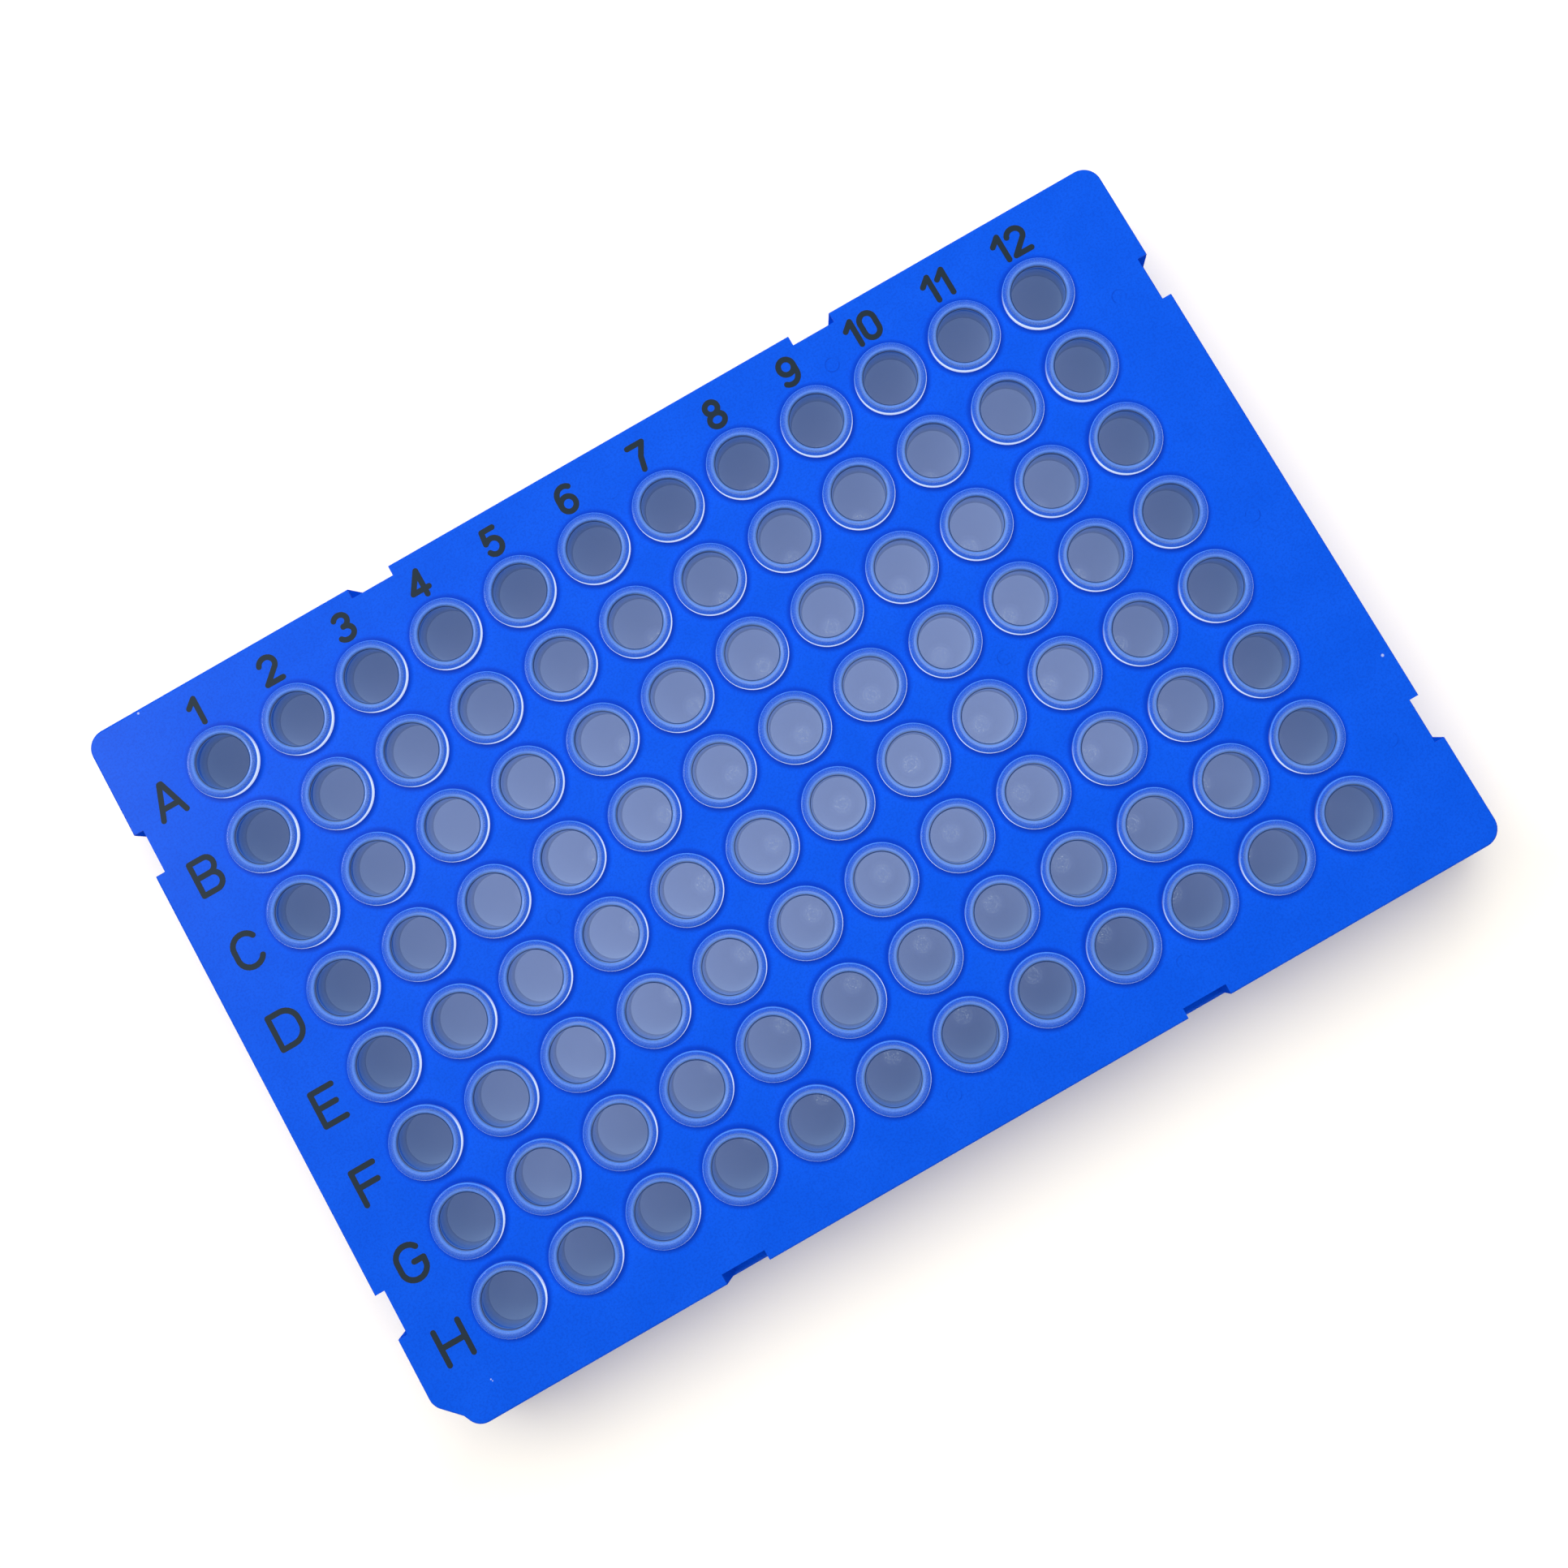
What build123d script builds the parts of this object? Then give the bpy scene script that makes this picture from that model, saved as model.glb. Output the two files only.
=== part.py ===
from build123d import *
import os
from math import radians, tan

# 96-well cycler plate in two plastics: a rigid frame with a full skirt, and thin clear wells
# moulded through the holes in its deck. Millimetres; the origin is the centre of the base,
# +X runs from column 1 to column 12, +Y towards row A, +Z up out of the wells.

# --- grid of wells ---
COLUMNS = 12
ROWS = "abcdefgh"
PITCH = 9.0

# --- foot: the flange that nests and grippers hold ---
FOOT_LENGTH = 127.76
FOOT_WIDTH = 85.48
FOOT_CORNER = 3.18        # plan radius
FOOT_WALL = 1.3
FLANGE_TOP = 6.1          # height of the ledge above the bench
FLANGE_THICK = 1.2
FLANGE_EDGE = 0.4         # rounding along the ledge

# --- deck and skirt ---
END_STEP = 2.23           # from the foot's short side in to the deck's
SIDE_STEP = 1.64          # from the foot's long side in to the deck's
DECK_TOP = 15.35          # height of its upper face above the bench
DECK_THICK = 1.2
DECK_CORNER = 2.05        # plan radius of the three round corners
DECK_EDGE = 0.25          # rounding along the upper edge
SKIRT_FLARE = 0.1         # outward lean per millimetre of drop
SKIRT_WALL = 1.2

# --- cut corner beside well H1, measured from where the two sides would meet ---
KEY_CUT = 4.1             # up the short side to the start of the cut
KEY_RUN = 2.35            # in from the short side to the end of the cut
KEY_NOSE = 3.2            # in from the short side to the tip of the small nose
KEY_BEND_RADIUS = 2.0
KEY_NOSE_RADIUS = 1.9

# --- notches, two in each side ---
NOTCH_LENGTH = 5.0
NOTCH_DEPTH = 1.15        # in from the edge of the deck
NOTCH_DROP = 6.1          # down from the deck's upper face
NOTCH_CENTRE = 27.0       # from the middle of the side
NOTCH_WALL = 1.0

# --- wells ---
RIM_RADIUS = 3.83
RIM_HEIGHT = 0.75         # above the deck
BORE_RADIUS = 2.8
BORE_DEPTH = 2.6          # from the rim to where the cone starts
BARREL_WALL = 0.45        # round the bore, where the well passes through the deck
COLLAR_RADIUS = 3.6       # bead under the deck that locks the well in its hole
CONE_ANGLE = 8.5          # half angle
CONE_WALL = 0.36
WELL_DEPTH = 14.6
FLOOR_WALL = 0.4
MOULD_GAP = 0.02          # between a well's barrel and its hole

deck_length = FOOT_LENGTH - 2 * END_STEP
deck_width = FOOT_WIDTH - 2 * SIDE_STEP
deck_under = DECK_TOP - DECK_THICK
ledge_under = FLANGE_TOP - FLANGE_THICK
rim_top = DECK_TOP + RIM_HEIGHT
barrel_radius = BORE_RADIUS + BARREL_WALL
cone_top = rim_top - BORE_DEPTH
well_floor = rim_top - WELL_DEPTH
floor_radius = BORE_RADIUS - (cone_top - well_floor) * tan(radians(CONE_ANGLE))


def well_places(row):
    """Centres of one row's wells, from column 1 to column 12."""
    y = (len(ROWS) - 1) * PITCH / 2 - row * PITCH
    return [((column - (COLUMNS - 1) / 2) * PITCH, y) for column in range(COLUMNS)]


def keyed_face(height, length, width, corner):
    """Plan of the plate at one height: three round corners and the cut one at H1."""
    x, y = length / 2, width / 2
    turns = [
        ((-x, y), corner),
        ((-x, KEY_CUT - y), KEY_BEND_RADIUS),
        ((KEY_RUN - x, KEY_CUT - KEY_RUN - y), 0),
        ((KEY_NOSE - x, -y), KEY_NOSE_RADIUS),
        ((x, -y), corner),
        ((x, y), corner),
    ]
    with BuildSketch(Plane.XY.offset(height)) as plan:
        with BuildLine():
            Polyline([point for point, _ in turns], close=True)
        make_face()
        for point, radius in turns:
            if radius:
                fillet(plan.vertices().sort_by_distance((*point, height))[0], radius)
    return plan.sketch


def skirt_block(bottom, top, inset):
    """The skirt's form between two heights, inset all round, leaning out towards its foot."""
    faces = []
    for height in (bottom, top):
        grow = 2 * (SKIRT_FLARE * (DECK_TOP - height) - inset)
        faces.append(keyed_face(height, deck_length + grow, deck_width + grow, DECK_CORNER))
    return loft(faces, ruled=True)


def foot_block(top, inset):
    """The foot's form from the bench up, inset all round."""
    plan = keyed_face(
        0, FOOT_LENGTH - 2 * inset, FOOT_WIDTH - 2 * inset, FOOT_CORNER - inset
    )
    return extrude(plan, top)


def notch_blocks(behind):
    """The eight notches from outside the foot inwards, each grown inwards by `behind`."""
    long = NOTCH_LENGTH + 2 * behind
    deep = NOTCH_DEPTH + behind
    tall = NOTCH_DROP + behind
    middle = DECK_TOP - tall / 2
    end_block = Box(deep + END_STEP, long, tall)
    side_block = Box(long, deep + SIDE_STEP, tall)
    blocks = []
    for side in (-1, 1):
        x = side * (FOOT_LENGTH - deep - END_STEP) / 2
        y = side * (FOOT_WIDTH - deep - SIDE_STEP) / 2
        for place in (-NOTCH_CENTRE, NOTCH_CENTRE):
            blocks.append(Pos(x, place, middle) * end_block)
            blocks.append(Pos(place, y, middle) * side_block)
    return blocks


def frame():
    """Deck, skirt and foot in one moulding, open below, with a hole for each well."""
    skirt = skirt_block(FLANGE_TOP, DECK_TOP, 0)
    skirt = fillet(skirt.faces().sort_by(Axis.Z)[-1].edges(), DECK_EDGE)
    foot = foot_block(FLANGE_TOP, 0)
    foot = fillet(foot.faces().sort_by(Axis.Z)[-1].edges(), FLANGE_EDGE)
    inside = skirt_block(ledge_under, deck_under, SKIRT_WALL) - notch_blocks(NOTCH_WALL)
    body = skirt + foot - inside - foot_block(ledge_under, FOOT_WALL)
    body -= notch_blocks(0)

    hole = Cylinder(barrel_radius + MOULD_GAP, 3 * DECK_THICK)
    places = [Pos(x, y, DECK_TOP) for row in range(len(ROWS)) for x, y in well_places(row)]
    return body - [place * hole for place in places]


def well():
    """One clear well, turned about its own axis: rim, barrel, locking bead and cone."""
    profile = [
        (0, well_floor),
        (floor_radius, well_floor),
        (BORE_RADIUS, cone_top),
        (BORE_RADIUS, rim_top),
        (RIM_RADIUS, rim_top),
        (RIM_RADIUS, DECK_TOP),
        (barrel_radius, DECK_TOP),
        (barrel_radius, deck_under),
        (COLLAR_RADIUS, deck_under),
        (COLLAR_RADIUS, cone_top),
        (BORE_RADIUS + CONE_WALL, cone_top),
        (floor_radius + CONE_WALL, well_floor - FLOOR_WALL),
        (0, well_floor - FLOOR_WALL),
    ]
    with BuildPart() as turned:
        with BuildSketch(Plane.XZ):
            with BuildLine():
                Polyline(profile, close=True)
            make_face()
        revolve(axis=Axis.Z)
    return turned.part


os.makedirs("parts", exist_ok=True)
export_step(frame(), "parts/frame.step")
one_well = well()
for row, letter in enumerate(ROWS):
    wells = [Pos(x, y, 0) * one_well for x, y in well_places(row)]
    export_step(Compound(children=wells), f"parts/well_row_{letter}.step")
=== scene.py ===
"""A 96-well cycler plate: clear wells moulded through a rigid blue frame, on a pale floor."""

import functools
import math

import bpy
from mathutils import Matrix, Vector


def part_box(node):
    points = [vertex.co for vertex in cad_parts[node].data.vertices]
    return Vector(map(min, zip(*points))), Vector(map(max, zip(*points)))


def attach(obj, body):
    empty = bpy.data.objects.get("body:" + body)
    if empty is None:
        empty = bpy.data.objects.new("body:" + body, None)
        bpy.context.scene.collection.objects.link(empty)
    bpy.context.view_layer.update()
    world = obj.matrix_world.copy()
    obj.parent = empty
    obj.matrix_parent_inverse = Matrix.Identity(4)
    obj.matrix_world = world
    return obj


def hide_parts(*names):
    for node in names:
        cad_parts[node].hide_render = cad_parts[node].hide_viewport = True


bl_info = {
    "name": "Cycler plate dresser",
    "version": (1, 0, 0),
    "blender": (4, 5, 0),
    "location": "3D View > Sidebar > Plate",
    "description": "Dresses the moulded frame, wells and legends of a 96-well cycler plate",
    "category": "Object",
}

MM = 0.001
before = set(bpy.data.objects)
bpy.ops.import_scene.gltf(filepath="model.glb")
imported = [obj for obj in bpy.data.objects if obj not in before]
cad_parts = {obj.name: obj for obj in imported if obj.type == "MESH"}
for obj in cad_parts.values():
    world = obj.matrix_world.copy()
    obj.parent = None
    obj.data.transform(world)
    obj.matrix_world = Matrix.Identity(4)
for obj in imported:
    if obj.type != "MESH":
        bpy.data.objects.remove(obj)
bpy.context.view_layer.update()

ROW_LETTERS = "ABCDEFGH"
COLUMNS = 12
WELL_SEGMENTS = 64

# Shades of the blue plastic and what lies on it; the darkest blue serves the grain, the pin marks and the
# painted shade round each rim
MOTTLE_BLUE = (0.003, 0.1, 0.8)
MARKS_AND_SHADE_BLUE = (0.0, 0.047, 0.49)
DUST = (0.62, 0.72, 0.9)

# Shades of the clear plastic from the rim down into the bore, with painted highlights, painted shade lines
# and a painted glow there
RIM_OUTER = (0.02, 0.13, 0.77)
RIM_INNER = (0.11, 0.26, 0.82)
# painted highlight on the rim's edges and outer wall
RIM_HIGHLIGHT_LINE = (0.11, 0.35, 1.0)
# painted highlight on the -Y side of the rim's outer wall
RIM_WALL_HIGHLIGHT = (0.92, 0.96, 1.0)
# painted glow on that side of the wall and on the floor's rings and flecks
WALL_GLOW = (0.5, 0.57, 0.64)
# painted glow inside the bore
BORE_GLOW = (0.009, 0.038, 0.17)
BORE_BLUE = (0.08, 0.26, 0.8)
# painted shade: the grey of the bore's wall by the shoulder, and its painted glow
SHOULDER_SHADE_GREY = (0.12, 0.22, 0.5)
SHOULDER_GLOW = (0.012, 0.03, 0.085)
# painted shade lines round the bore's mouth and at the shoulder
BORE_SHADE_LINE = (0.004, 0.025, 0.16)
GATE_LIGHT = (0.6, 0.72, 0.86)

# Shades of the stage
DARK = (0.0, 0.0, 0.0)
# painted shade: the floor under the plate
UNDER_SHADE = (0.12, 0.14, 0.22)
WARM_WHITE = (1.0, 0.955, 0.88)

# The frame's own sizes, in millimetres: each notch is NOTCH_CENTRE from the middle of its side,
# and its reach is half its length with a little beside it
END_STEP = 2.23
SIDE_STEP = 1.64
DECK_THICK = 1.2
NOTCH_CENTRE = 27.0
NOTCH_REACH = 2.56
NOTCH_DEPTH = 1.1
NOTCH_DROP = 6.1
DECK_EDGE = 0.3           # the deck's rounded edge
PIN_INSET = 7.1           # from the foot's short side to the pin marks by column 12

# The frame's skin, in millimetres
DECK_SKIN = 0.05          # what still counts as the deck's upper face
RIM_SHADE_REACH = 0.7          # painted shade that each rim throws on the deck
PIN_LINE = 0.12
MOTTLE_SIZE = 5.0
PATCH_SIZE = 1.6
GRAIN_SIZE = 0.22
GRAIN_DEPTH = 0.006

# Dust and nicks on the deck: X, Y and radius, in millimetres
DUST_SPECKS = ((60.6, -19.2, 0.2), (-55.1, -37.5, 0.1), (-55.02, -37.72, 0.08), (-55.2, 40.7, 0.16))

# Small forms of a well, in millimetres
FLOOR_WALL = 0.4
SEAT_GAP = 0.01           # between the well and the deck's two faces
COLLAR_STEP = 0.35        # from the barrel out to the bead under the deck
MOUTH_FLARE = 0.17
LIP_RADIUS = 0.22
LIP_STEPS = 5
CONE_STEPS = 4

# The legends, in millimetres: numbers stand above row A, letters left of column 1 and a little low
NUMBER_RISE = 6.23
LETTER_OUT = 7.2
LETTER_DROP = 0.71
INK_HALF_WIDTH = 0.31
INK_LIFT = 0.01
INK_LAYER = 0.002         # each run of ink lies this much above the last
CAP_STEPS = 10
ARC_TURN = 12             # degrees between the points of a bend

# Shares of a size: the marks' pitch against the wells', a number's breadth, and the gap between figures
NUMBER_PITCH = 1.006
LETTER_PITCH = 1.008
NUMBER_SPREAD = 1.12
LETTER_SPREAD = 1.0
FIGURE_GAP = 0.08

# The floor, in millimetres from the plate's middle or edges
FLOOR_HALF = 3000.0
UNDER_INSET = 2.0
LIFT_REACH = 16.0
GLOW_REACH = (-2.0, 36.0)
FAR_REACH = (150.0, 700.0)
LAMP_SIDE_SHARE = 0.85    # the painted glow under the plate reaches further in on the side that faces the lamp

# Lamps: place, what they point at, and length of a side, in metres
KEY_LAMP = ((0.0, 0.27, 0.62), (0.0, 0.0, 0.0), 0.65)
KEY_COLOUR = (0.99, 0.99, 1.0)
SHEEN_LAMP = ((-0.3, 0.18, 0.315), (-0.06, 0.03, 0.0), 0.12)

# Where the camera stands over the plate, in millimetres, and the heading of its upper edge in degrees
CAMERA_PLACE = (8.37, -7.62, 166.9)
CAMERA_TARGET = (8.92, 5.45, 16.1)
CAMERA_HEADING = 60.17
CAMERA_SHIFT = (-0.0276, -0.0546)
SENSOR_WIDTH = 36.0


# ---------------------------------------------------------------- sizes taken from the frame


def node_box(name):
    """Lowest and highest corner of a node, in metres."""
    low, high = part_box(name)
    return Vector(low), Vector(high)


FRAME_HIGH = node_box("frame")[1]
ROW_A_LOW, ROW_A_HIGH = node_box("well_row_a")
DECK_TOP = FRAME_HIGH.z
RIM_TOP = ROW_A_HIGH.z
WELL_FOOT = ROW_A_LOW.z
RIM_RADIUS = (ROW_A_HIGH.y - ROW_A_LOW.y) / 2
PITCH = (ROW_A_HIGH.x - ROW_A_LOW.x - 2 * RIM_RADIUS) / (COLUMNS - 1)
DECK_HALF = FRAME_HIGH.xy - Vector((END_STEP, SIDE_STEP)) * MM


def row_y(index):
    """Centre line of a row, counted from A."""
    low, high = node_box(f"well_row_{ROW_LETTERS[index].lower()}")
    return (low.y + high.y) / 2


def column_x(index):
    """Centre line of a column, counted from column 1."""
    return (index - (COLUMNS - 1) / 2) * PITCH


# ---------------------------------------------------------------- node building

MIX_COLOURS = (6, 7)      # a Mix node's two colour sockets, which share their names with others


class Num:
    """A number socket that takes part in Python arithmetic."""

    def __init__(self, nodes, socket):
        self.nodes = nodes
        self.socket = socket

    def _math(self, operation, *values):
        return self.nodes.number("ShaderNodeMath", {"operation": operation}, dict(enumerate(values)))

    def __add__(self, other):
        return self._math("ADD", self, other)

    def __radd__(self, other):
        return self._math("ADD", other, self)

    def __sub__(self, other):
        return self._math("SUBTRACT", self, other)

    def __rsub__(self, other):
        return self._math("SUBTRACT", other, self)

    def __mul__(self, other):
        return self._math("MULTIPLY", self, other)

    def __rmul__(self, other):
        return self._math("MULTIPLY", other, self)

    def __lt__(self, other):
        return self._math("LESS_THAN", self, other)

    def __gt__(self, other):
        return self._math("GREATER_THAN", self, other)

    def fraction(self):
        return self._math("FRACT", self)

    def size(self):
        return self._math("ABSOLUTE", self)

    def root(self):
        return self._math("SQRT", self)

    def least(self, other):
        return self._math("MINIMUM", self, other)

    def most(self, other):
        return self._math("MAXIMUM", self, other)

    def ramp(self, start, end):
        """0 below start, 1 above end, smooth between; start may be the larger."""
        settings = {"interpolation_type": "SMOOTHSTEP"}
        low, high, out = (start, end, (0.0, 1.0)) if start < end else (end, start, (1.0, 0.0))
        sockets = {"Value": self, "From Min": low, "From Max": high, "To Min": out[0], "To Max": out[1]}
        return self.nodes.number("ShaderNodeMapRange", settings, sockets)

    def band(self, middle, half_width):
        """1 on a value, fading to 0 at half_width either side."""
        return (self - middle).size().ramp(half_width, 0.0)


class Nodes:
    """The node tree of a material or a world, emptied and built node by node."""

    def __init__(self, owner):
        owner.use_nodes = True
        self.tree = owner.node_tree
        self.tree.nodes.clear()

    def node(self, kind, settings=None, sockets=None):
        """A node of a type, with its settings made first and then its sockets' values or links."""
        made = self.tree.nodes.new(kind)
        for key, value in (settings or {}).items():
            setattr(made, key, value)
        for key, value in (sockets or {}).items():
            self.feed(made.inputs[key], value)
        return made

    def feed(self, socket, value):
        """Link a socket to a number, colour or shader, or give it a plain value."""
        if isinstance(value, Num):
            value = value.socket
        if isinstance(value, bpy.types.NodeSocket):
            self.tree.links.new(value, socket)
        else:
            socket.default_value = value

    def number(self, kind, settings=None, sockets=None, output=0):
        return Num(self, self.node(kind, settings, sockets).outputs[output])

    def ray(self, kind):
        """1 for one kind of ray, such as camera rays."""
        return self.number("ShaderNodeLightPath", output=f"Is {kind} Ray")


class Finish(Nodes):
    """A material with a Principled surface."""

    def __init__(self, name, colour):
        self.material = bpy.data.materials.new(name)
        self.material.cycles.emission_sampling = "NONE"  # its glow is too faint to be a lamp
        super().__init__(self.material)
        self.surface = self.node("ShaderNodeBsdfPrincipled", None, {"Base Color": (*colour, 1.0)})
        self.output = self.node("ShaderNodeOutputMaterial", None, {"Surface": self.surface.outputs[0]})

    def set(self, socket, value):
        """A value that is the same all over the surface."""
        self.surface.inputs[socket].default_value = value

    def vary(self, socket, value):
        """A number or colour that changes over the surface."""
        self.feed(self.surface.inputs[socket], value)

    def where(self):
        """Where on the object the surface is seen, in metres."""
        return self.node("ShaderNodeTexCoord").outputs["Object"]

    def place(self):
        """Object-space X, Y and Z in millimetres."""
        split = self.node("ShaderNodeSeparateXYZ", None, {"Vector": self.where()})
        return [Num(self, split.outputs[axis]) * (1 / MM) for axis in range(3)]

    def speckle(self, grain, detail=3.0):
        """Noise whose grains are about this many millimetres across."""
        stretch = [1 / (grain * MM)] * 3
        scaled = self.node("ShaderNodeVectorMath", {"operation": "MULTIPLY"}, {0: self.where(), 1: stretch})
        sockets = {"Vector": scaled.outputs[0], "Scale": 1.0, "Detail": detail}
        return self.number("ShaderNodeTexNoise", None, sockets)

    def blend(self, mask, under, over):
        """Colour `over` laid on `under` where the mask is 1."""
        sockets = {"Factor": mask}
        for key, colour in zip(MIX_COLOURS, (under, over)):
            linked = isinstance(colour, bpy.types.NodeSocket)
            sockets[key] = colour if linked else (*colour[:3], 1.0)
        return self.node("ShaderNodeMix", {"data_type": "RGBA"}, sockets).outputs[2]

    def relief(self, height, depth):
        """Bump whose height of 1 stands this many millimetres out."""
        sockets = {"Height": height, "Distance": depth * MM, "Strength": 1.0}
        self.vary("Normal", self.node("ShaderNodeBump", None, sockets).outputs[0])


# ---------------------------------------------------------------- mesh building


def put_mesh(name, vertices, faces, smooth=True):
    """A mesh object in the scene."""
    mesh = bpy.data.meshes.new(name)
    mesh.from_pydata(vertices, [], faces)
    mesh.validate()
    mesh.update()
    for polygon in mesh.polygons:
        polygon.use_smooth = smooth
    made = bpy.data.objects.new(name, mesh)
    bpy.context.scene.collection.objects.link(made)
    return made


def arc_points(centre, radius, start, end, steps):
    """Points on an arc in the profile plane, angles in degrees."""
    turns = [math.radians(start + (end - start) * k / steps) for k in range(steps + 1)]
    return [(centre[0] + radius * math.cos(t), centre[1] + radius * math.sin(t)) for t in turns]


def turned(profile, centres, segments):
    """Vertices and faces of a closed profile of (radius, height), turned about each centre."""
    vertices, faces = [], []
    for cx, cy in centres:
        rings = []
        for radius, height in profile:
            first = len(vertices)
            if radius == 0:
                vertices.append((cx, cy, height))
                rings.append([first] * segments)
                continue
            for k in range(segments):
                turn = 2 * math.pi * k / segments
                vertices.append((cx + radius * math.cos(turn), cy + radius * math.sin(turn), height))
            rings.append(list(range(first, first + segments)))
        for below, above in zip(rings, rings[1:]):
            for k in range(segments):
                n = (k + 1) % segments
                corners = []
                for index in (below[k], above[k], above[n], below[n]):
                    if index not in corners:
                        corners.append(index)
                if len(corners) > 2:
                    faces.append(corners)
    return vertices, faces


# ---------------------------------------------------------------- settings


class PlateFrameSettings(bpy.types.PropertyGroup):
    """Looks of the moulded frame."""

    colour: bpy.props.FloatVectorProperty(
        name="Frame colour", description="Pigment of the rigid plastic", default=(0.001, 0.087, 0.735),
        size=3, subtype="COLOR", min=0.0, max=1.0)
    roughness: bpy.props.FloatProperty(
        name="Roughness", description="Satin of the moulded skin", default=0.38,
        min=0.0, max=1.0, subtype="FACTOR")
    gloss: bpy.props.FloatProperty(
        name="Gloss", description="Weight of the polished skin over the plastic", default=0.15,
        min=0.0, max=1.0, subtype="FACTOR")
    pin_radius: bpy.props.FloatProperty(
        name="Pin mark radius", description="Witness marks left by the ejector pins", default=0.75 * MM,
        unit="LENGTH", precision=5)


class PlateWellSettings(bpy.types.PropertyGroup):
    """Sizes and looks of the clear wells."""

    colour: bpy.props.FloatVectorProperty(
        name="Well colour", description="Tint of the clear plastic", default=(0.42, 0.68, 1.0),
        size=3, subtype="COLOR", min=0.0, max=1.0)
    clarity: bpy.props.FloatProperty(
        name="Clarity", description="How much shows through one skin of the plastic", default=0.91,
        min=0.0, max=1.0, subtype="FACTOR")
    roughness: bpy.props.FloatProperty(
        name="Roughness", description="Polish of the mould", default=0.18,
        min=0.0, max=1.0, subtype="FACTOR")
    gloss: bpy.props.FloatProperty(
        name="Gloss", description="Strength of the surface's reflection", default=0.2,
        min=0.0, max=1.0, subtype="FACTOR")
    bore_radius: bpy.props.FloatProperty(
        name="Bore radius", description="Straight bore under the rim", default=2.8 * MM,
        unit="LENGTH", precision=5)
    bore_depth: bpy.props.FloatProperty(
        name="Bore depth", description="From the rim to the cone", default=2.6 * MM,
        unit="LENGTH", precision=5)
    barrel_wall: bpy.props.FloatProperty(
        name="Barrel wall", description="Wall where the well passes the deck", default=0.45 * MM,
        unit="LENGTH", precision=5)
    cone_wall: bpy.props.FloatProperty(
        name="Cone wall", description="Wall of the cone", default=0.36 * MM, unit="LENGTH", precision=5)
    cone_angle: bpy.props.FloatProperty(
        name="Cone angle", description="Half angle of the cone", default=math.radians(8.5), subtype="ANGLE")


class PlateLegendSettings(bpy.types.PropertyGroup):
    """Looks of the row and column marks."""

    colour: bpy.props.FloatVectorProperty(
        name="Ink colour", description="Row and column marks", default=(0.014, 0.026, 0.04),
        size=3, subtype="COLOR", min=0.0, max=1.0)
    number_height: bpy.props.FloatProperty(
        name="Number height", description="Height of the column numbers", default=3.42 * MM,
        unit="LENGTH", precision=5)
    letter_height: bpy.props.FloatProperty(
        name="Letter height", description="Height of the row letters", default=4.26 * MM,
        unit="LENGTH", precision=5)


class PlateStageSettings(bpy.types.PropertyGroup):
    """Floor, lamps and camera."""

    floor_colour: bpy.props.FloatVectorProperty(
        name="Floor colour", description="Pale floor under the plate", default=(0.985, 0.96, 0.9),
        size=3, subtype="COLOR", min=0.0, max=1.0)
    # painted glow for the camera alone, on the floor under the plate
    under_glow: bpy.props.FloatVectorProperty(
        name="Glow under the plate", description="Blue light caught between frame and floor",
        default=(0.2, 0.27, 0.52), size=3, subtype="COLOR", min=0.0, max=1.0)
    # the same painted glow near the skirt
    edge_glow: bpy.props.FloatVectorProperty(
        name="Glow under the edges", description="The same light near the skirt, where less gets in",
        default=(0.06, 0.1, 0.24), size=3, subtype="COLOR", min=0.0, max=1.0)
    floor_lift: bpy.props.FloatVectorProperty(
        name="Floor lift", description="Brings the floor round the plate up to white for the camera alone",
        default=(0.135, 0.125, 0.1), size=3, subtype="COLOR", min=0.0, max=1.0)
    key_power: bpy.props.FloatProperty(
        name="Key power", description="Watts of the broad lamp overhead", default=4.4, min=0.0)
    sheen_power: bpy.props.FloatProperty(
        name="Sheen power", description="Watts of the small lamp mirrored beside the deck at A1", default=1.4,
        min=0.0)
    ambient: bpy.props.FloatProperty(
        name="Ambient", description="Level of the even light from all round", default=0.5, min=0.0)
    lens: bpy.props.FloatProperty(
        name="Lens", description="Focal length on a 36 mm sensor", default=33.54, min=1.0)


# ---------------------------------------------------------------- the frame


def pin_mark_centres():
    """Ejector pin marks: along both centre lines and beside the side at column 12."""
    far, near = 4 * PITCH / MM, 3 * PITCH / MM
    end_x = FRAME_HIGH.x / MM - PIN_INSET
    marks = [(0.0, far), (0.0, -far), (near, far), (near, -far), (-near, 0.0), (near, 0.0)]
    return marks + [(end_x, y) for y in (-near, 0.0, near)]


def off_axis(place):
    """How far, in millimetres and along one axis, a place lies from the nearest well's centre."""
    return ((place * (MM / PITCH)).fraction() - 0.5) * (PITCH / MM)


def span(across, along):
    """Straight distance made up of one distance across and one along."""
    return (across * across + along * along).root()


def from_well_axis(x, y):
    """Distance, in millimetres, to the axis of the nearest well of the grid."""
    return span(off_axis(x), off_axis(y))


def from_point(x, y, centre):
    """Distance, in millimetres, to a point of the deck."""
    return span(x - centre[0], y - centre[1])


def in_notches(x, y, z):
    """1 on the walls and floors of the eight notches."""
    masks = []
    for along, across, half in ((x, y, DECK_HALF.y), (y, x, DECK_HALF.x)):
        beside = (along.size() - NOTCH_CENTRE).size() < NOTCH_REACH
        masks.append(beside * (across.size() > (half / MM - NOTCH_DEPTH)))
    notch_floor = DECK_TOP / MM - NOTCH_DROP
    return masks[0].most(masks[1]) * (z < (DECK_TOP / MM - DECK_EDGE)) * (z > (notch_floor - DECK_SKIN))


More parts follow.
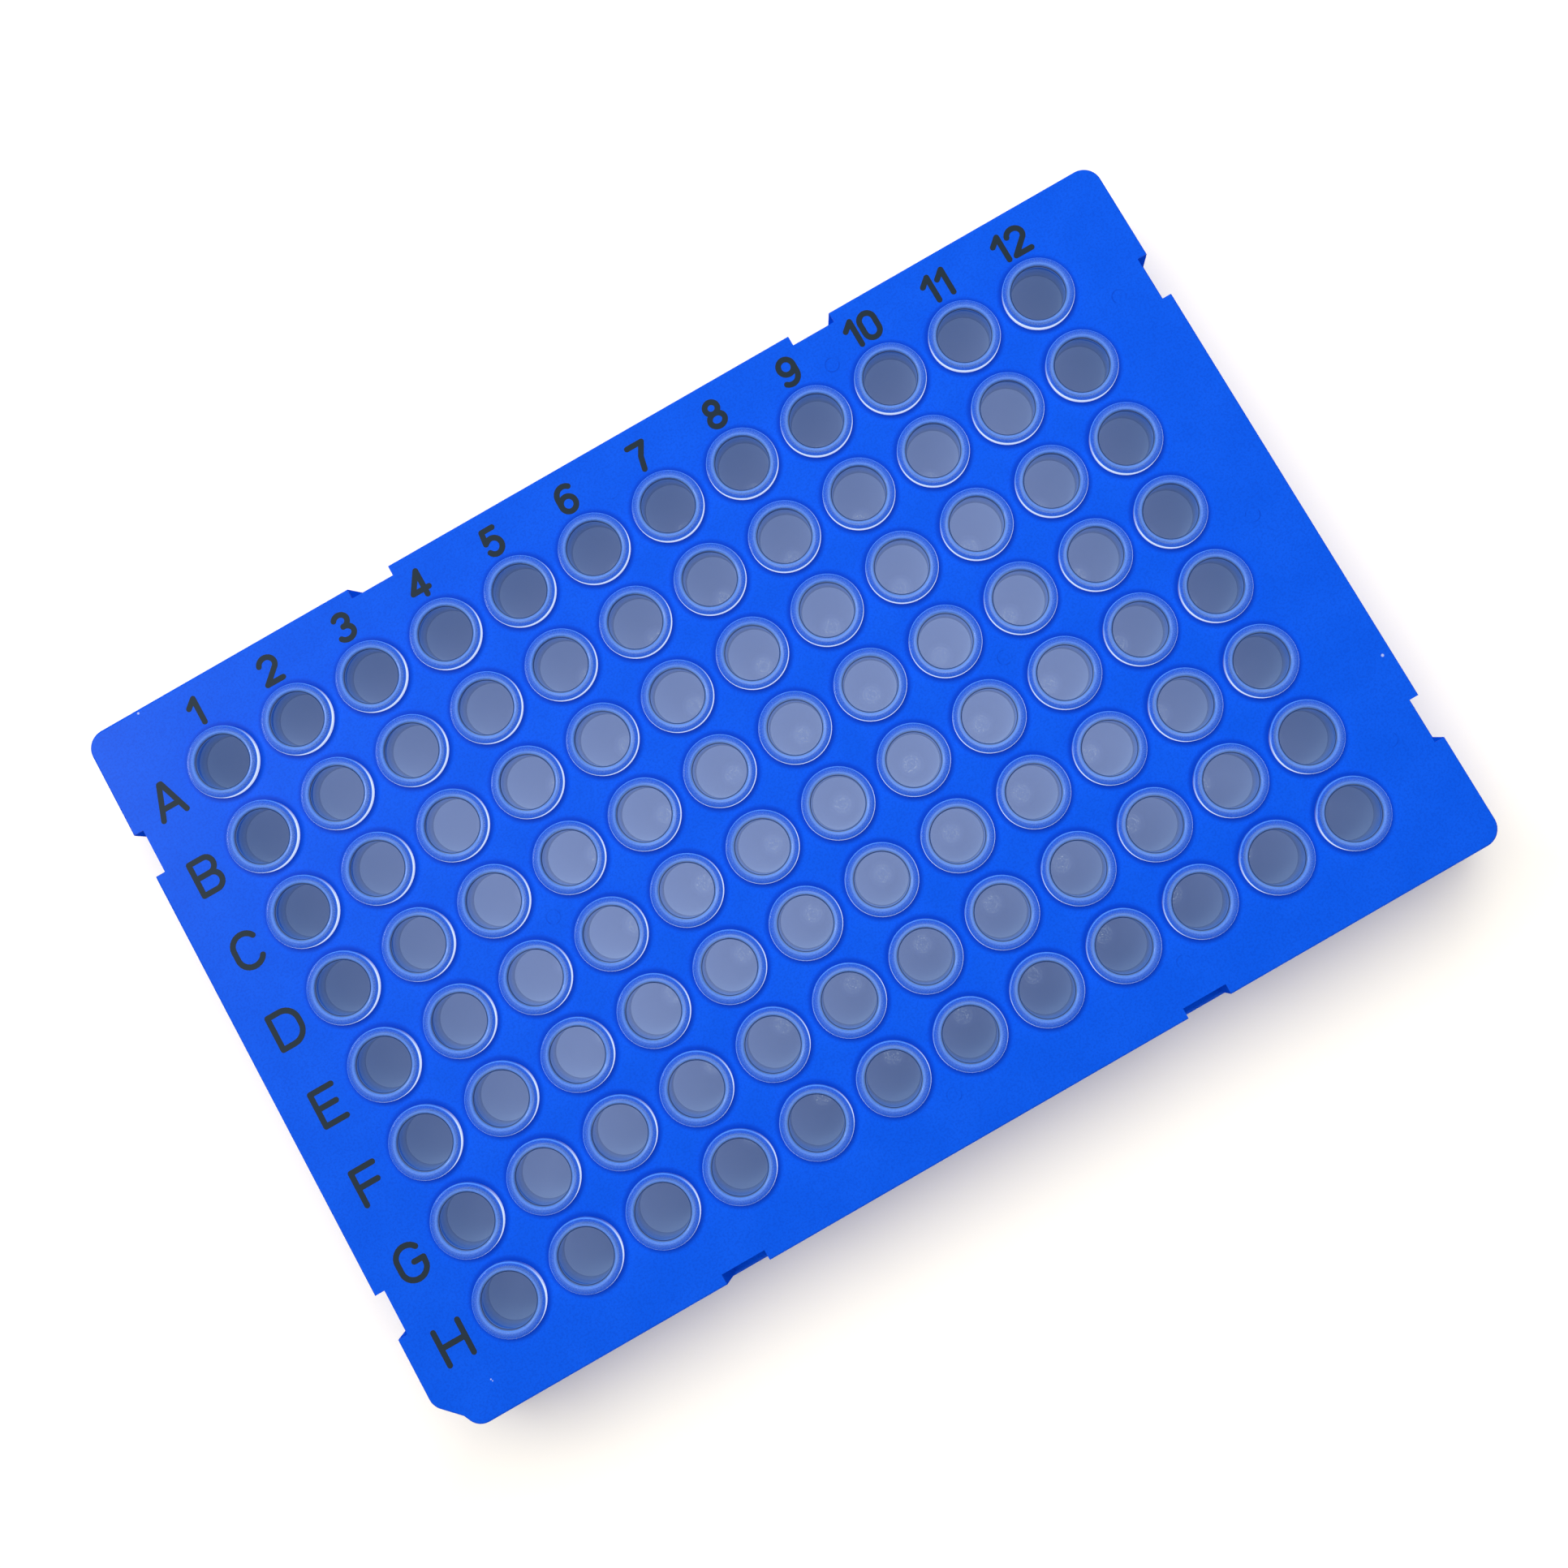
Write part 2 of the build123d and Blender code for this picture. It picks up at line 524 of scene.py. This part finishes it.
def blue_plastic(settings):
    """Satin blue plastic: mottle, fine grain, soft pin marks, dust and a painted shade round each rim."""
    finish = Finish("blue_moulded_plastic", settings.colour)
    finish.set("Roughness", settings.roughness)
    finish.set("Specular IOR Level", 0.0)
    finish.set("Coat Roughness", settings.roughness)
    x, y, z = finish.place()
    finish.vary("Coat Weight", (1.0 - in_notches(x, y, z)) * settings.gloss)

    pitch, rim = PITCH / MM, RIM_RADIUS / MM
    on_deck = z > (DECK_TOP / MM - DECK_SKIN)
    in_grid = (x.size() < COLUMNS / 2 * pitch) * (y.size() < len(ROW_LETTERS) / 2 * pitch)
    radius = from_well_axis(x, y)
    # painted shade: a dark ring on the deck round each rim
    rim_shade = radius.ramp(rim + RIM_SHADE_REACH, rim + 0.15) * radius.ramp(rim - 0.3, rim) * in_grid * on_deck
    rings = [from_point(x, y, c).band(settings.pin_radius / MM, PIN_LINE) for c in pin_mark_centres()]
    marks = functools.reduce(Num.most, rings) * on_deck
    specks = [from_point(x, y, centre).ramp(size, 0.5 * size) for *centre, size in DUST_SPECKS]
    dust = functools.reduce(Num.most, specks) * on_deck

    mottle = finish.speckle(MOTTLE_SIZE, detail=4.0).ramp(0.35, 0.7)
    grain = finish.speckle(GRAIN_SIZE, detail=2.0)
    patches = finish.speckle(PATCH_SIZE).ramp(0.4, 0.62)
    colour = finish.blend(mottle * 0.5, settings.colour, MOTTLE_BLUE)
    colour = finish.blend(grain.ramp(0.6, 0.3) * 0.3, colour, MARKS_AND_SHADE_BLUE)
    # painted shade round each rim
    colour = finish.blend(rim_shade * 0.9, colour, MARKS_AND_SHADE_BLUE)
    colour = finish.blend(marks * patches * 0.7, colour, MARKS_AND_SHADE_BLUE)
    colour = finish.blend(dust * 0.6, colour, DUST)
    finish.vary("Base Color", colour)
    finish.relief(grain + marks * 0.6 + mottle * 0.4, GRAIN_DEPTH)
    return finish.material


class PLATE_OT_frame(bpy.types.Operator):
    """Give the moulded frame its blue satin plastic."""

    bl_idname = "plate.frame"
    bl_label = "Dress the frame"

    def execute(self, context):
        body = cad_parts["frame"]
        material = blue_plastic(context.scene.plate_frame)
        for slot in body.material_slots:
            slot.material = material
        return {"FINISHED"}


# ---------------------------------------------------------------- the wells


def well_profile(settings):
    """Radius and height, in metres, up the inside from the floor, over the rim and down outside."""
    bore, rim = settings.bore_radius / MM, RIM_RADIUS / MM
    top, deck, foot = RIM_TOP / MM, DECK_TOP / MM, WELL_FOOT / MM
    shoulder = top - settings.bore_depth / MM
    floor = foot + FLOOR_WALL
    slope = math.tan(settings.cone_angle)
    drop = shoulder - floor
    floor_radius = bore - drop * slope
    cone_wall = settings.cone_wall / MM
    barrel = bore + settings.barrel_wall / MM
    collar = barrel + COLLAR_STEP
    seat, collar_top = deck + SEAT_GAP, deck - DECK_THICK - SEAT_GAP
    mouth_centre = (bore + MOUTH_FLARE + LIP_RADIUS, top - LIP_RADIUS)
    rim_centre = (rim - LIP_RADIUS, top - LIP_RADIUS)

    gate_ring = [(0, 0.02), (0.42, 0.02), (0.54, 0.08), (0.62, 0.08), (0.7, 0)]
    floor_bend = [(floor_radius - 0.18, 0), (floor_radius - 0.04, 0.05), (floor_radius + 0.01, 0.2)]
    rises = [drop * k / CONE_STEPS for k in range(1, CONE_STEPS)]
    cone = [(floor_radius + slope * rise, rise) for rise in rises]
    profile = [(radius, floor + height) for radius, height in gate_ring + floor_bend + cone]
    profile += [(bore - 0.1, shoulder - 0.12), (bore - 0.02, shoulder), (bore, shoulder + 0.1)]
    profile += [(bore, top - 0.42), (bore + 0.03, top - 0.3)]
    profile += arc_points(mouth_centre, LIP_RADIUS, 180, 90, LIP_STEPS)
    profile += arc_points(rim_centre, LIP_RADIUS, 90, 0, LIP_STEPS)
    profile += [(rim, seat), (barrel, seat), (barrel, collar_top), (collar, collar_top)]
    profile += [(collar, shoulder + 0.1), (collar - 0.1, shoulder), (bore + cone_wall, shoulder)]
    profile += [(floor_radius + cone_wall, foot + 0.15), (floor_radius + cone_wall - 0.15, foot), (0, foot)]
    return [(radius * MM, height * MM) for radius, height in profile]


def clear_plastic(settings):
    """Thin clear plastic, milkier where it is seen along its wall, with painted highlights, painted shade
    lines and painted glow; distances in millimetres.
    """
    finish = Finish("clear_moulded_plastic", settings.colour)
    finish.set("Roughness", settings.roughness)
    finish.set("Specular IOR Level", settings.gloss)
    finish.set("Emission Strength", 1.0)
    x, y, z = finish.place()
    radius = from_well_axis(x, y)
    rim, bore = RIM_RADIUS / MM, settings.bore_radius / MM
    top, deck, floor = RIM_TOP / MM, DECK_TOP / MM, WELL_FOOT / MM + FLOOR_WALL
    shoulder = top - settings.bore_depth / MM
    barrel = bore + settings.barrel_wall / MM

    # The rim: its flat top, the milky throat over the barrel, a painted highlight on its two edges, and its
    # outer wall, painted with a highlight that is whitest and glows on its -Y side
    on_top = z.ramp(top - 0.2, top - 0.1)
    flat = on_top * radius.ramp(rim - 0.1, bore + 0.35)
    throat = on_top * radius.ramp(barrel + 0.06, barrel - 0.06)
    edge = on_top * radius.band(rim - 0.06, 0.06)
    mouth = on_top * radius.band(bore + 0.22, 0.07)
    front = 1.0 - finish.number("ShaderNodeNewGeometry", output="Backfacing")
    upright = z.ramp(deck, deck + 0.05) * z.ramp(top - 0.06, top - 0.14)
    wall = front * upright * radius.ramp(rim - 0.05, rim - 0.02)
    # the -Y side of each rim's outer wall, for a painted highlight and glow
    wall_highlight = wall * off_axis(y).ramp(0.75 * rim, -0.35 * rim)

    # The bore: a painted shade line round its mouth, its wall down to the shoulder, and a painted shade line
    # at the shoulder
    mouth_shade_line = radius.band(bore + 0.08, 0.15) * z.ramp(top - 0.36, top - 0.3)
    inside = radius.ramp(bore + 0.12, bore + 0.06)
    in_bore = inside * z.ramp(shoulder - 0.1, shoulder + 0.1) * (1.0 - mouth_shade_line)
    deep = z.ramp(top - 0.6, shoulder + 0.2)
    shoulder_shade_line = z.band(shoulder, 0.1)

    # The floor: broken rings and flecks round the gate, which also carry a painted glow
    near_floor = z.ramp(floor + 0.5, floor + 0.25)
    scuff = finish.speckle(0.35, detail=2.0).ramp(0.45, 0.62)
    gate = (radius.band(0.58, 0.1) + radius.band(1.0, 0.12) * 0.6) * scuff * near_floor
    fleck = finish.speckle(0.12, detail=0.0).ramp(0.7, 0.76) * radius.ramp(1.2, 0.8) * near_floor
    grain = finish.speckle(0.14, detail=1.0).ramp(0.4, 0.6)

    alpha = (1.0 - settings.clarity) * (1.0 - near_floor * 0.3)
    alpha = alpha + on_top * (0.38 + grain * 0.1) + throat * 0.3 + wall * 0.8 + edge * 0.2
    alpha = alpha + mouth_shade_line * 0.9 + in_bore * 0.4 + shoulder_shade_line * 0.12 + gate * 0.08 + fleck * 0.3
    finish.vary("Alpha", alpha.least(0.95))

    colour = finish.blend(on_top, settings.colour, RIM_OUTER)
    colour = finish.blend(flat, colour, RIM_INNER)
    # painted highlights on the rim's outer edge and round its mouth
    colour = finish.blend((edge + mouth * 0.5).least(1.0), colour, RIM_HIGHLIGHT_LINE)
    # the bore's wall turns from blue to grey with painted shade towards the shoulder
    colour = finish.blend(in_bore, colour, finish.blend(deep, BORE_BLUE, SHOULDER_SHADE_GREY))
    # painted shade lines round the mouth and at the shoulder
    colour = finish.blend((mouth_shade_line + shoulder_shade_line).least(1.0), colour, BORE_SHADE_LINE)
    colour = finish.blend((gate + fleck).least(1.0), colour, GATE_LIGHT)
    # painted highlight on the rim's outer wall, whitest on its -Y side
    colour = finish.blend(wall, colour, RIM_HIGHLIGHT_LINE)
    colour = finish.blend(wall_highlight, colour, RIM_WALL_HIGHLIGHT)
    finish.vary("Base Color", colour)

    # painted glow: the bore's wall glows blue, less towards the shoulder; the -Y side of each rim's wall and
    # the floor's rings and flecks glow white
    glow = finish.blend(in_bore, DARK, finish.blend(deep, BORE_GLOW, SHOULDER_GLOW))
    glow = finish.blend((wall_highlight + gate + fleck).least(1.0), glow, WALL_GLOW)
    finish.vary("Emission Color", glow)
    return finish.material


class PLATE_OT_wells(bpy.types.Operator):
    """Turn the ninety-six clear wells, one object for each row."""

    bl_idname = "plate.wells"
    bl_label = "Make the wells"

    def execute(self, context):
        settings = context.scene.plate_wells
        material = clear_plastic(settings)
        profile = well_profile(settings)
        for index, letter in enumerate(ROW_LETTERS):
            centres = [(column_x(column), row_y(index)) for column in range(COLUMNS)]
            vertices, faces = turned(profile, centres, WELL_SEGMENTS)
            row = put_mesh(f"clear_wells_{letter}", vertices, faces)
            row.data.materials.append(material)
            node = f"well_row_{letter.lower()}"
            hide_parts(node)
            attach(row, "root")
        return {"FINISHED"}


# ---------------------------------------------------------------- the legends

# Each stroke is a list of points in a box one unit high; ("arc", cx, cy, rx, ry, from, to) bends.
STROKES = {
    "0": [[("arc", 0.265, 0.7, 0.265, 0.3, 0, 180), ("arc", 0.265, 0.3, 0.265, 0.3, 180, 360), (0.53, 0.7)]],
    "1": [[(0.0, 0.72), (0.28, 1.0), (0.28, 0.0)]],
    "2": [[("arc", 0.29, 0.71, 0.28, 0.29, 165, -35), (0.0, 0.0), (0.59, 0.0)]],
    "3": [[("arc", 0.25, 0.755, 0.24, 0.245, 150, -90)], [("arc", 0.25, 0.26, 0.28, 0.26, 90, -150)]],
    "4": [[(0.44, 0.0), (0.44, 1.0), (0.0, 0.24), (0.6, 0.24)]],
    "5": [[(0.5, 1.0), (0.09, 1.0), (0.04, 0.52), ("arc", 0.27, 0.32, 0.27, 0.32, 130, -150)]],
    "6": [[("arc", 0.26, 0.3, 0.26, 0.3, 180, 540)], [(0.0, 0.3), ("arc", 0.32, 0.62, 0.32, 0.38, 180, 50)]],
    "7": [[(0.0, 1.0), (0.55, 1.0), (0.3, 0.5), (0.2, 0.0)]],
    "8": [[("arc", 0.265, 0.76, 0.22, 0.24, 0, 360)], [("arc", 0.265, 0.26, 0.265, 0.26, 0, 360)]],
    "9": [[("arc", 0.26, 0.7, 0.26, 0.3, 0, 360)], [(0.52, 0.7), ("arc", 0.2, 0.38, 0.32, 0.38, 0, -130)]],
    "A": [[(0.0, 0.0), (0.35, 1.0), (0.41, 1.0), (0.76, 0.0)], [(0.12, 0.3), (0.64, 0.3)]],
    "B": [
        [(0.0, 0.0), (0.0, 1.0), (0.42, 1.0), ("arc", 0.45, 0.76, 0.23, 0.24, 90, -90), (0.0, 0.52)],
        [(0.4, 0.52), ("arc", 0.45, 0.26, 0.25, 0.26, 90, -90), (0.0, 0.0)],
    ],
    "C": [[("arc", 0.38, 0.64, 0.38, 0.36, 30, 180), ("arc", 0.38, 0.36, 0.38, 0.36, 180, 330)]],
    "D": [
        [
            (0.0, 0.0), (0.0, 1.0), (0.36, 1.0), ("arc", 0.38, 0.58, 0.42, 0.42, 90, 0),
            ("arc", 0.38, 0.42, 0.42, 0.42, 0, -90), (0.0, 0.0),
        ]
    ],
    "E": [[(0.68, 1.0), (0.0, 1.0), (0.0, 0.0), (0.68, 0.0)], [(0.0, 0.52), (0.6, 0.52)]],
    "F": [[(0.7, 1.0), (0.0, 1.0), (0.0, 0.0)], [(0.0, 0.52), (0.62, 0.52)]],
    "G": [
        [
            ("arc", 0.38, 0.64, 0.38, 0.36, 35, 180), ("arc", 0.38, 0.36, 0.38, 0.36, 180, 345),
            (0.76, 0.48), (0.46, 0.48),
        ]
    ],
    "H": [[(0.0, 0.0), (0.0, 1.0)], [(0.77, 0.0), (0.77, 1.0)], [(0.0, 0.51), (0.77, 0.51)]],
}


def stroke_points(stroke):
    """The points of a stroke, with its bends worked out."""
    points = []
    for item in stroke:
        if item[0] != "arc":
            points.append(item)
            continue
        _, cx, cy, rx, ry, start, end = item
        steps = max(6, int(abs(end - start) / ARC_TURN))
        for k in range(steps + 1):
            turn = math.radians(start + (end - start) * k / steps)
            points.append((cx + rx * math.cos(turn), cy + ry * math.sin(turn)))
    return points


def glyph_width(glyph):
    """Breadth of a figure one unit high."""
    return max(x for stroke in STROKES[glyph] for x, _ in stroke_points(stroke))


def gentle_runs(points, limit=math.radians(35)):
    """Cut a stroke into runs wherever it turns sharply."""
    runs = [points[:2]]
    for before, here, after in zip(points, points[1:], points[2:]):
        turn = math.atan2(after[1] - here[1], after[0] - here[0])
        turn -= math.atan2(here[1] - before[1], here[0] - before[0])
        if abs(math.remainder(turn, math.tau)) > limit:
            runs.append([here])
        runs[-1].append(after)
    return runs


def ink_ribbon(points, half_width, height, vertices, faces):
    """A flat ribbon of even width along a gently bending run, with round ends."""
    headings = [math.atan2(b[1] - a[1], b[0] - a[0]) for a, b in zip(points, points[1:])]
    closed = math.dist(points[0], points[-1]) < 0.01 * half_width
    left, right = [], []
    for k, (px, py) in enumerate(points):
        before = headings[k - 1] if k or closed else headings[0]
        after = headings[k] if k < len(headings) else headings[0 if closed else -1]
        bend = math.remainder(after - before, math.tau)
        heading, reach = before + bend / 2, half_width / math.cos(bend / 2)
        shift = (-math.sin(heading) * reach, math.cos(heading) * reach)
        left.append((px + shift[0], py + shift[1]))
        right.append((px - shift[0], py - shift[1]))
    first = len(vertices)
    for (ax, ay), (bx, by) in zip(left, right):
        vertices += [(ax, ay, height), (bx, by, height)]
    for k in range(len(points) - 1):
        a = first + 2 * k
        faces.append((a, a + 1, a + 3, a + 2))
    if closed:
        return
    for (cx, cy), heading, turn in ((points[0], headings[0], 90), (points[-1], headings[-1], -90)):
        cap = len(vertices)
        for k in range(CAP_STEPS + 1):
            t = heading + math.radians(turn + 180 * k / CAP_STEPS)
            vertices.append((cx + half_width * math.cos(t), cy + half_width * math.sin(t), height))
        faces.append(tuple(range(cap, len(vertices))))


def legend_mesh(name, text, centre, height, spread):
    """One number or letter as ink on the deck, centred on a point; each run lies a hair above the last."""
    vertices, faces = [], []
    half_width = INK_HALF_WIDTH * MM
    reach = height - 2 * half_width
    gap = FIGURE_GAP * reach + 2 * half_width
    widths = [glyph_width(glyph) * reach * spread for glyph in text]
    x = centre[0] - (sum(widths) + gap * (len(text) - 1)) / 2
    level = DECK_TOP + INK_LIFT * MM
    for glyph, width in zip(text, widths):
        for stroke in STROKES[glyph]:
            points = stroke_points(stroke)
            points = [(x + px * reach * spread, centre[1] + (py - 0.5) * reach) for px, py in points]
            for run in gentle_runs(points):
                ink_ribbon(run, half_width, level, vertices, faces)
                level += INK_LAYER * MM
        x += width + gap
    return put_mesh(name, vertices, faces, smooth=False)


def legend_ink(settings):
    """Dull dark ink."""
    finish = Finish("legend_ink", settings.colour)
    finish.set("Roughness", 0.55)
    finish.set("Specular IOR Level", 0.1)
    return finish.material


class PLATE_OT_legends(bpy.types.Operator):
    """Mark the column numbers and row letters on the deck."""

    bl_idname = "plate.legends"
    bl_label = "Mark the legends"

    def execute(self, context):
        settings = context.scene.plate_legends
        material = legend_ink(settings)
        number_y = row_y(0) + NUMBER_RISE * MM
        letter_x = column_x(0) - LETTER_OUT * MM
        marks = []
        for column in range(COLUMNS):
            centre = (column_x(column) * NUMBER_PITCH, number_y)
            marks.append((str(column + 1), centre, settings.number_height, NUMBER_SPREAD))
        for row, letter in enumerate(ROW_LETTERS):
            centre = (letter_x, row_y(row) * LETTER_PITCH - LETTER_DROP * MM)
            marks.append((letter, centre, settings.letter_height, LETTER_SPREAD))
        for text, centre, height, spread in marks:
            mark = legend_mesh(f"legend_{text}", text, centre, height, spread)
            mark.data.materials.append(material)
            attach(mark, "root")
        return {"FINISHED"}


# ---------------------------------------------------------------- the stage


def aimed(place, target, up=Vector((0, 1, 0))):
    """A matrix at `place` whose -Z looks at `target`, with `up` upright."""
    back = (Vector(place) - Vector(target)).normalized()
    side = up.cross(back).normalized()
    turn = Matrix((side, back.cross(side), back)).transposed().to_4x4()
    return Matrix.Translation(Vector(place)) @ turn


def put_object(name, data, matrix):
    """A lamp or camera in the scene."""
    made = bpy.data.objects.new(name, data)
    made.matrix_world = matrix
    bpy.context.scene.collection.objects.link(made)
    return made


def area_lamp(name, lamp, power):
    """A square lamp from its place, target and side."""
    place, target, side = lamp
    data = bpy.data.lights.new(name, "AREA")
    data.shape = "SQUARE"
    data.size = side
    data.energy = power
    return put_object(name, data, aimed(place, target))


def tint_floor(finish, x, y, settings):
    """Floor painted dark under the plate as painted shade and, for the camera alone, a painted blue glow
    there and a lift round it.
    """
    half_x, half_y = DECK_HALF / MM
    under = (half_x - x.size()).least(half_y - y.size()) > UNDER_INSET
    finish.vary("Base Color", finish.blend(under, settings.floor_colour, UNDER_SHADE))

    lamp_side = half_y - (y * LAMP_SIDE_SHARE).most(0.0 - y)
    open_in = (half_x - x.size()).least(lamp_side)
    beside = (x.size() - FRAME_HIGH.x / MM).most(y.size() - FRAME_HIGH.y / MM).ramp(0.0, LIFT_REACH)
    seen = finish.ray("Camera")
    # painted glow under the plate, for the camera alone, fainter by the skirt
    glow = finish.blend(open_in.ramp(*GLOW_REACH), settings.edge_glow, settings.under_glow)
    glow = finish.blend(seen * under, DARK, glow)
    finish.vary("Emission Color", finish.blend(seen * beside, glow, settings.floor_lift))


def pale_floor(settings):
    """Matt pale floor that turns, far off and for the camera alone, into the backdrop's own white."""
    finish = Finish("pale_floor", settings.floor_colour)
    finish.set("Roughness", 0.9)
    finish.set("Specular IOR Level", 0.0)
    finish.set("Emission Strength", 1.0)
    x, y, _ = finish.place()
    tint_floor(finish, x, y, settings)

    far = finish.ray("Camera") * span(x, y).ramp(*FAR_REACH)
    white = finish.node("ShaderNodeEmission", None, {"Color": (*WARM_WHITE, 1.0), "Strength": 1.0})
    sockets = {0: far, 1: finish.surface.outputs[0], 2: white.outputs[0]}
    mix = finish.node("ShaderNodeMixShader", None, sockets)
    finish.feed(finish.output.inputs["Surface"], mix.outputs[0])
    return finish.material


def studio_world(settings):
    """Even light from all round, and a white backdrop for the camera, for gloss and through glass."""
    world = bpy.data.worlds.new("studio")
    nodes = Nodes(world)
    level = nodes.ray("Camera").most(nodes.ray("Glossy")).most(nodes.ray("Transmission"))
    sockets = {"Color": (*WARM_WHITE, 1.0), "Strength": level.most(settings.ambient)}
    light = nodes.node("ShaderNodeBackground", None, sockets)
    nodes.node("ShaderNodeOutputWorld", None, {"Surface": light.outputs[0]})
    return world


def place_camera(settings):
    """The camera over the plate, turned to its heading."""
    data = bpy.data.cameras.new("camera")
    data.sensor_width = SENSOR_WIDTH
    data.lens = settings.lens
    data.shift_x, data.shift_y = CAMERA_SHIFT
    data.clip_start = 0.01
    heading = math.radians(CAMERA_HEADING)
    upright = Vector((math.cos(heading), math.sin(heading), 0))
    return put_object("camera", data, aimed(Vector(CAMERA_PLACE) * MM, Vector(CAMERA_TARGET) * MM, upright))


class PLATE_OT_stage(bpy.types.Operator):
    """Lay the pale floor, hang the lamps and place the camera."""

    bl_idname = "plate.stage"
    bl_label = "Set the stage"

    def execute(self, context):
        scene, settings = context.scene, context.scene.plate_stage
        half = FLOOR_HALF * MM
        corners = [(-half, -half, 0), (half, -half, 0), (half, half, 0), (-half, half, 0)]
        floor = put_mesh("floor", corners, [(0, 1, 2, 3)], smooth=False)
        floor.data.materials.append(pale_floor(settings))

        key = area_lamp("key_lamp", KEY_LAMP, settings.key_power)
        key.data.color = KEY_COLOUR
        key.visible_glossy = False
        sheen = area_lamp("sheen_lamp", SHEEN_LAMP, settings.sheen_power)
        sheen.visible_diffuse = False
        sheen.visible_camera = False

        scene.camera = place_camera(settings)
        scene.world = studio_world(settings)
        scene.view_settings.view_transform = "Standard"
        return {"FINISHED"}


class PLATE_PT_panel(bpy.types.Panel):
    """Shows the plate's settings and a button for each step."""

    bl_idname = "PLATE_PT_panel"
    bl_label = "Cycler plate"
    bl_space_type = "VIEW_3D"
    bl_region_type = "UI"
    bl_category = "Plate"

    def draw(self, context):
        for settings in SETTINGS:
            group = getattr(context.scene, settings)
            for name in group.bl_rna.properties.keys():
                if name not in ("rna_type", "name"):
                    self.layout.prop(group, name)
        for operator in OPERATORS:
            self.layout.operator(operator.bl_idname)


SETTINGS = {
    "plate_frame": PlateFrameSettings,
    "plate_wells": PlateWellSettings,
    "plate_legends": PlateLegendSettings,
    "plate_stage": PlateStageSettings,
}
OPERATORS = (PLATE_OT_frame, PLATE_OT_wells, PLATE_OT_legends, PLATE_OT_stage)


def register():
    for kind in (*SETTINGS.values(), *OPERATORS, PLATE_PT_panel):
        bpy.utils.register_class(kind)
    for name, kind in SETTINGS.items():
        setattr(bpy.types.Scene, name, bpy.props.PointerProperty(type=kind))


def unregister():
    for name in SETTINGS:
        delattr(bpy.types.Scene, name)
    for kind in reversed((*SETTINGS.values(), *OPERATORS, PLATE_PT_panel)):
        bpy.utils.unregister_class(kind)


def main():
    register()
    for operator in OPERATORS:
        group, name = operator.bl_idname.split(".")
        if getattr(getattr(bpy.ops, group), name)() != {"FINISHED"}:
            raise RuntimeError(f"{operator.bl_idname} did not finish")


if __name__ == "__main__":
    main()
